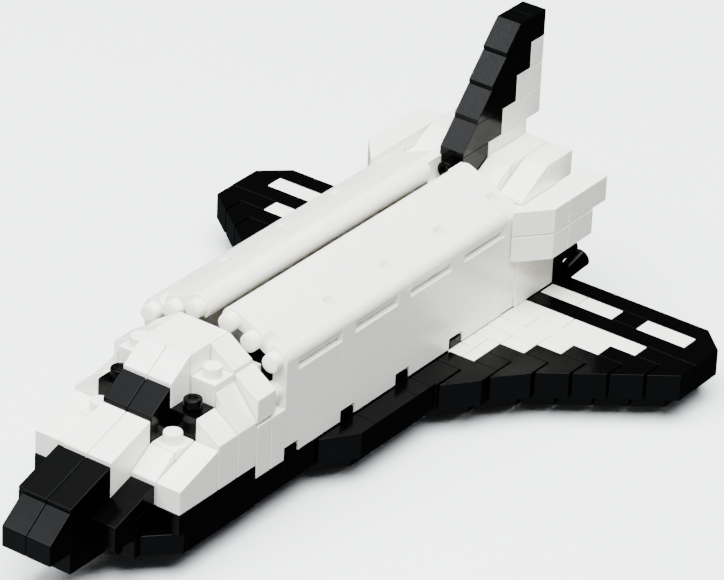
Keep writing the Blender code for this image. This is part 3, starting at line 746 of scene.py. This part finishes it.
# Front and rear course of its flared brick, at the inner and at the outer side
SHOULDER_FLARE = ((4.7, 2), (3.15, 2))
for side, side_name in SIDES:
    for name, inner, outer, start in HUMPS:
        slope_rear = course_y(start - SLOPE_COURSES)
        slope = slope_along(inner * PITCH, outer * PITCH, course_y(start), slope_rear,
                            *over_wing([BODY_TOP, BODY_TOP + LIP, HUMP_TOP]))
        level = boxes(inner * PITCH, outer * PITCH, slope_rear, course_y(-1),
                      over_wing(BODY_TOP), over_wing(HUMP_TOP))
        hump = on_side(np.concatenate([slope, level]), side)
        white_bricks(f"{name}_{side_name}_bricks", [moulded(hump, WHITE_AIR)], [f"{name}_{side_name}"])
    shoulder = []
    for bottom, top, rear in SHOULDER_LEVELS:
        shoulder.append(corners_of(np.array([3, 4])[None, :, None, None] * PITCH,
                                   course_y(SHOULDER_FLARE)[None, :, :, None],
                                   over_wing([bottom, top])[None, None, None, :]))
        shoulder.append(boxes(3 * PITCH, 4 * PITCH, course_y(2), course_y(rear),
                              over_wing(bottom), over_wing(top)))
    white_bricks(f"shoulder_{side_name}_bricks",
                 [moulded(on_side(np.concatenate(shoulder), side), WHITE_AIR)],
                 [f"shoulder_{side_name}"])


# Fin. The real pieces are one-stud bricks, a slope at the front of each level, black along the
# leading edge and white behind. An open stud on the lowest one points forward over the bay.

FIN_HALF = 0.5 * PITCH
LEVELS = np.arange(5, 9)          # of its slope bricks: heights over the wing, in pitches
FIN_STUD = (4, 4.5)               # course, and height over the wing


def side_place(outline):
    """An outline seen from the side, from (course, pitches over the wing) to metres."""
    outline = np.array(outline, float)
    return np.stack([course_y(outline[:, 0]), over_wing(outline[:, 1])], axis=-1)


def fin_brick(outline):
    """Shell of a brick one stud wide on the centreline, from its outline as (course, pitches over
    the wing)."""
    return slab(side_place(outline), -FIN_HALF, FIN_HALF, "x", HAIRLINE)


def fin_block(front, rear, low, high):
    """Shell of a plain brick on the centreline, from its front and rear course and its heights."""
    return fin_brick([(front, low), (front, high), (rear, high), (rear, low)])


fin_black = [fin_block(4, 2, 4, 5), fin_block(-1, -2, 8, 9)]
fin_white = [fin_block(4, -1, 3.5, 4), fin_block(2, -1, 4, 5)]
for level in LEVELS:
    foot = 9 - level
    rear = max(6 - level, -1)
    fin_black.append(fin_brick([(foot, level), (foot, level + LIP), (foot - 1, level + 1),
                                (rear, level + 1), (rear, level)]))
    if level < LEVELS[-1]:
        fin_white.append(fin_block(rear, -2, level, level + 1))
stud_base = (0, course_y(FIN_STUD[0]), over_wing(FIN_STUD[1]))
fin_black.append(stud(stud_base, (0, -1, 0), DIMPLED_STUD))
black_bricks("fin_leading_edge_bricks", fin_black, ["fin_leading_edge"])
white_bricks("fin_panel_bricks", fin_white, ["fin_panel"])


# Engines. The real pieces are a black bracket across the tail and three small black bells, which
# are moulded hollow cones with a thin rim, pushed onto it.

# Corners seen from the side: course, and height over the wing in pitches
BRACKET_PROFILE = ((1, 0), (0.2, 0), (0.2, 0.62), (-0.62, 0.68), (-1.0, 0.76), (-0.80, 1.1), (1, 1.1))
black_bricks("engine_bracket_bricks",
             [slab(side_place(BRACKET_PROFILE), -3 * PITCH, 3 * PITCH, "x")], ["engine_bracket"])
# Radius in pitches against the part of the bell's length, outside to the rim and back down inside
BELL_PROFILE = np.array([(0.14, 0), (0.25, 0.01), (0.29, 0.06), (0.30, 0.20), (0.32, 0.45),
                         (0.345, 0.75), (0.375, 0.985), (0.36, 1.0), (0.335, 1.0), (0.315, 0.985),
                         (0.28, 0.75), (0.22, 0.50), (0.14, 0.36), (0.06, 0.33)])
BELL_LENGTH, BELL_CANT = 0.96, math.radians(12)
# Name, and its middle across the body and over the wing
BELLS = (
    ("engine_bell_port", 3.0, 0.1),
    ("engine_bell_starboard", -3.0, 0.1),
    ("engine_bell_top", 0, 2.75),
)
bell_axis = (0, math.cos(BELL_CANT), math.sin(BELL_CANT))
for name, x, z in BELLS:
    base = (x * PITCH, course_y(0) + HAIRLINE, over_wing(z))
    bell = turned(BELL_PROFILE * (PITCH, BELL_LENGTH * PITCH), base, bell_axis, steps=40)
    black_bricks(f"{name}_cone", [bell], [name], edge=0.0)


# Studio. A floor of pale paper, a large soft light overhead, a smaller one ahead of the nose, two
# weak ones on the starboard side, and a camera at the photograph's angle.

FLOOR_HALF = 0.6
across = np.array([-FLOOR_HALF, FLOOR_HALF])
floor_points = np.stack([*np.meshgrid(across, across), np.full((2, 2), -CAD_EDGE)], axis=-1)
floor_mesh = bpy.data.meshes.new("studio_floor")
floor_mesh.from_pydata(floor_points.reshape(-1, 3).tolist(), [], [[0, 1, 3, 2]])
floor = bpy.data.objects.new("studio_floor", floor_mesh)
bpy.context.scene.collection.objects.link(floor)
paper = bpy.data.materials.new("matt_background_paper")
paper.use_nodes = True
paper_shader = paper.node_tree.nodes["Principled BSDF"]
paper_shader.inputs["Base Color"].default_value = linear("#f4f4f3")
paper_shader.inputs["Roughness"].default_value = 0.9
floor_mesh.materials.append(paper)
# The toy neither mirrors the floor nor is lit by it
floor.visible_glossy = False
floor.visible_diffuse = False

ROOM_GLOW, CARD_GLOW = 0.08, 1.3
world = bpy.data.worlds.new("studio_surroundings")
bpy.context.scene.world = world
world.use_nodes = True
room = world.node_tree
surroundings = room.nodes["Background"]
surroundings.inputs["Color"].default_value = (0.85, 0.93, 1, 1)
# The room is dim, and a reflector card lies low ahead of the nose: its share is the product of two
# ramps, towards the nose and downwards.
direction = add_node(room, "ShaderNodeTexCoord").outputs["Generated"]
axes = add_node(room, "ShaderNodeSeparateXYZ", [(direction, "Vector")])
ahead = add_node(room, "ShaderNodeMapRange", [(axes.outputs["Y"], "Value")],
                 from_min=0.15, from_max=-0.15)
below = add_node(room, "ShaderNodeMapRange", [(axes.outputs["Z"], "Value")],
                 from_min=0.0, from_max=-0.2)
card = add_node(room, "ShaderNodeMath", operation="MULTIPLY")
room.links.new(ahead.outputs["Result"], card.inputs[0])
room.links.new(below.outputs["Result"], card.inputs[1])
glow = add_node(room, "ShaderNodeMapRange", [(card.outputs["Value"], "Value")],
                to_min=ROOM_GLOW, to_max=CARD_GLOW)
room.links.new(glow.outputs["Result"], surroundings.inputs["Strength"])

TARGET = Vector((0, 0, 0.012))
LAMP_COLOUR = (0.95, 0.985, 1.02)
# Name, place in metres, size in metres, power in watts
SOFT_LIGHTS = (
    ("key_softbox", (0.17, -0.25, 1.16), 1.20, 91.0),
    ("front_softbox", (-0.58, -0.77, 0.73), 0.50, 9.4),
    ("upper_softbox", (-0.64, -0.36, 0.93), 0.45, 4.0),
    ("rear_softbox", (-0.60, 0.34, 0.98), 0.45, 1.0),
)
for name, place, size, power in SOFT_LIGHTS:
    lamp = bpy.data.lights.new(name, "AREA")
    lamp.size = size
    lamp.energy = power
    lamp.color = LAMP_COLOUR
    light = bpy.data.objects.new(name, lamp)
    light.location = place
    light.rotation_euler = (TARGET - Vector(place)).to_track_quat("-Z", "Y").to_euler()
    bpy.context.scene.collection.objects.link(light)

# The view was fitted to the corners of the bricks, in stud pitches: the turn round the toy, the
# tilt and the roll in degrees, the distance, and the middle of the frame across and up from the
# point under the nose's tip at its lowest full course.
AZIMUTH, ELEVATION, ROLL = (math.radians(value) for value in (35.145, 29.510, 2.601))
DISTANCE = 146.38
FRAME_ACROSS, FRAME_UP = 10.610, 8.426
FOCAL_PIXELS = 4642
PHOTO_WIDTH = 724
back = Vector((math.sin(AZIMUTH) * math.cos(ELEVATION), -math.cos(AZIMUTH) * math.cos(ELEVATION),
               math.sin(ELEVATION)))
right = Vector((math.cos(AZIMUTH), math.sin(AZIMUTH), 0))
up = back.cross(right)
turned_right = math.cos(ROLL) * right + math.sin(ROLL) * up
turned_up = math.cos(ROLL) * up - math.sin(ROLL) * right
lens = bpy.data.cameras.new("photo_view")
lens.sensor_width = 36
lens.sensor_fit = "HORIZONTAL"
lens.lens = FOCAL_PIXELS * lens.sensor_width / PHOTO_WIDTH
lens.clip_end = 10
camera = bpy.data.objects.new("photo_view", lens)
place = (turned_right * FRAME_ACROSS + turned_up * FRAME_UP + back * DISTANCE) * PITCH
place += Vector((0, NOSE_TIP, LAYER_ZERO))
turn = Matrix((turned_right, turned_up, back)).transposed().to_4x4()
camera.matrix_world = Matrix.Translation(place) @ turn
bpy.context.scene.collection.objects.link(camera)
bpy.context.scene.camera = camera
